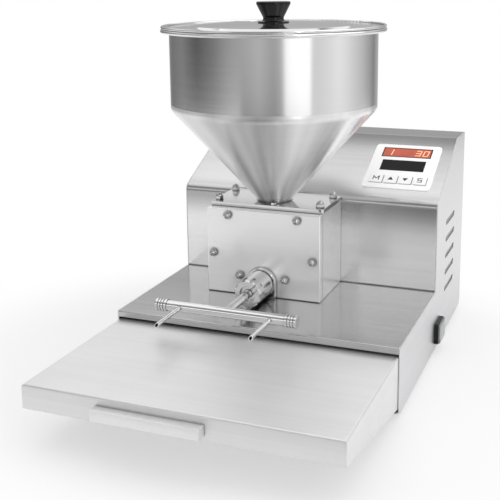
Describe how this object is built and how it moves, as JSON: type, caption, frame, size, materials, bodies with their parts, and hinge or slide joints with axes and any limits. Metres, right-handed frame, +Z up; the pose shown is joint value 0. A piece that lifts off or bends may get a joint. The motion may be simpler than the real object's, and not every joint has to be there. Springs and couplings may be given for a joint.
{
  "type": "pastry filling machine",
  "caption": "Table-top pastry filling machine: steel casing with hopper and gear pump feeding hollow needles above a slide-in tray, with a sloping control panel.",
  "frame": {"origin": "on the table under the middle of the whole machine", "axes": "+X to the operator's right, -Y towards the operator and the tray, +Z up"},
  "size_m": [0.3886, 0.654, 0.4895],
  "materials": {
    "casing_steel": "brushed stainless sheet",
    "tray_steel": "brushed stainless sheet",
    "inner_steel": "plain mill finish",
    "pump_steel": "ground and satin polished",
    "hopper_steel": "spun and satin polished",
    "bright_steel": "polished stainless",
    "gear_polymer": "machined food-grade polymer",
    "bush_bronze": "turned bronze",
    "black_rubber": "moulded rubber",
    "black_plastic": "glossy moulding",
    "clear_boot": "clear soft boot",
    "overlay_white": "printed film",
    "key_white": "satin moulding",
    "display_red": "red filter window",
    "board_green": "solder mask",
    "board_parts": "moulded",
    "drive_aluminium": "die cast",
    "motor_paint": "black enamel"
  },
  "bodies": {
    "machine": {"acorn_nuts": "bright_steel", "bar_caps": "bright_steel", "base_plate": "inner_steel", "board_parts": "board_parts", "board_posts": "board_parts", "case_screws": "bright_steel", "control_board": "board_green", "control_overlay": "overlay_white", "deck_plate": "casing_steel", "display_window": "display_red", "feed_pipe": "bright_steel", "feet": "black_rubber", "front_gasket": "black_rubber", "front_plate": "pump_steel", "gearbox": "drive_aluminium", "hopper_barrel": "hopper_steel", "hopper_cone": "hopper_steel", "hopper_rim": "hopper_steel", "inner_screws": "inner_steel", "motor": "motor_paint", "motor_bracket": "inner_steel", "needles": "bright_steel", "nozzle_bar": "bright_steel", "outlet_spigot": "bright_steel", "pipe_seal": "black_rubber", "power_inlet": "black_plastic", "power_supply": "drive_aluminium", "pump_body": "pump_steel", "pump_studs": "inner_steel", "pump_support": "inner_steel", "rear_panel": "casing_steel", "shaft_bushes": "bush_bronze", "shaft_seal": "black_rubber", "side_panel_left": "casing_steel", "side_panel_right": "casing_steel", "switch_body": "black_plastic", "switch_boot": "clear_boot", "tie_bolts": "inner_steel", "top_plate": "pump_steel", "tray_guides": "inner_steel", "upright_cover": "casing_steel"},
    "tray": {"tray": "tray_steel", "tray_handle": "tray_steel", "tray_runners": "inner_steel"},
    "lid": {"lid": "hopper_steel", "lid_skirt": "hopper_steel", "lid_knob": "black_plastic", "lid_screw": "inner_steel"},
    "drive": {"drive_gear": "gear_polymer", "drive_shaft": "inner_steel", "shaft_coupling": "inner_steel", "output_shaft": "inner_steel"},
    "idler": {"idler_gear": "gear_polymer", "idler_shaft": "inner_steel"},
    "menu_key": {"key_menu": "key_white"},
    "up_key": {"key_up": "key_white"},
    "down_key": {"key_down": "key_white"},
    "start_key": {"key_start": "key_white"},
    "rocker": {"switch_rocker": "black_plastic"},
    "pipe_nut": {"union_nut": "bright_steel"}
  },
  "joints": [
    {"name": "tray_slide", "type": "slide", "parent": "machine", "child": "tray", "axis": [0, 1, 0], "range_m": [0, 0.13]},
    {"name": "lid_lift", "type": "slide", "parent": "machine", "child": "lid", "axis": [0, 0, 1], "range_m": [0, 0.12]},
    {"name": "drive_spin", "type": "hinge", "parent": "machine", "child": "drive", "pos_m": [-0.00925, 0.033, 0.153], "axis": [0, 1, 0], "continuous": true},
    {"name": "idler_spin", "type": "hinge", "parent": "machine", "child": "idler", "pos_m": [-0.05725, 0.033, 0.153], "axis": [0, 1, 0], "continuous": true},
    {"name": "rocker_tilt", "type": "hinge", "parent": "machine", "child": "rocker", "pos_m": [0.18175, 0.135, 0.0295], "axis": [0, 0, 1], "range_deg": [-16, 0]},
    {"name": "nut_turn", "type": "hinge", "parent": "machine", "child": "pipe_nut", "pos_m": [-0.03325, -0.0243, 0.1125], "axis": [0, 1, 0], "continuous": true},
    {"name": "menu_press", "type": "slide", "parent": "machine", "child": "menu_key", "axis": [0, 0.4246, -0.9054], "range_m": [0, 0.0008], "stiffness_N_per_m": 800},
    {"name": "up_press", "type": "slide", "parent": "machine", "child": "up_key", "axis": [0, 0.4246, -0.9054], "range_m": [0, 0.0008], "stiffness_N_per_m": 800},
    {"name": "down_press", "type": "slide", "parent": "machine", "child": "down_key", "axis": [0, 0.4246, -0.9054], "range_m": [0, 0.0008], "stiffness_N_per_m": 800},
    {"name": "start_press", "type": "slide", "parent": "machine", "child": "start_key", "axis": [0, 0.4246, -0.9054], "range_m": [0, 0.0008], "stiffness_N_per_m": 800}
  ],
  "couplings": [
    {"joint": "idler_spin", "follows": "drive_spin", "ratio": -1}
  ]
}
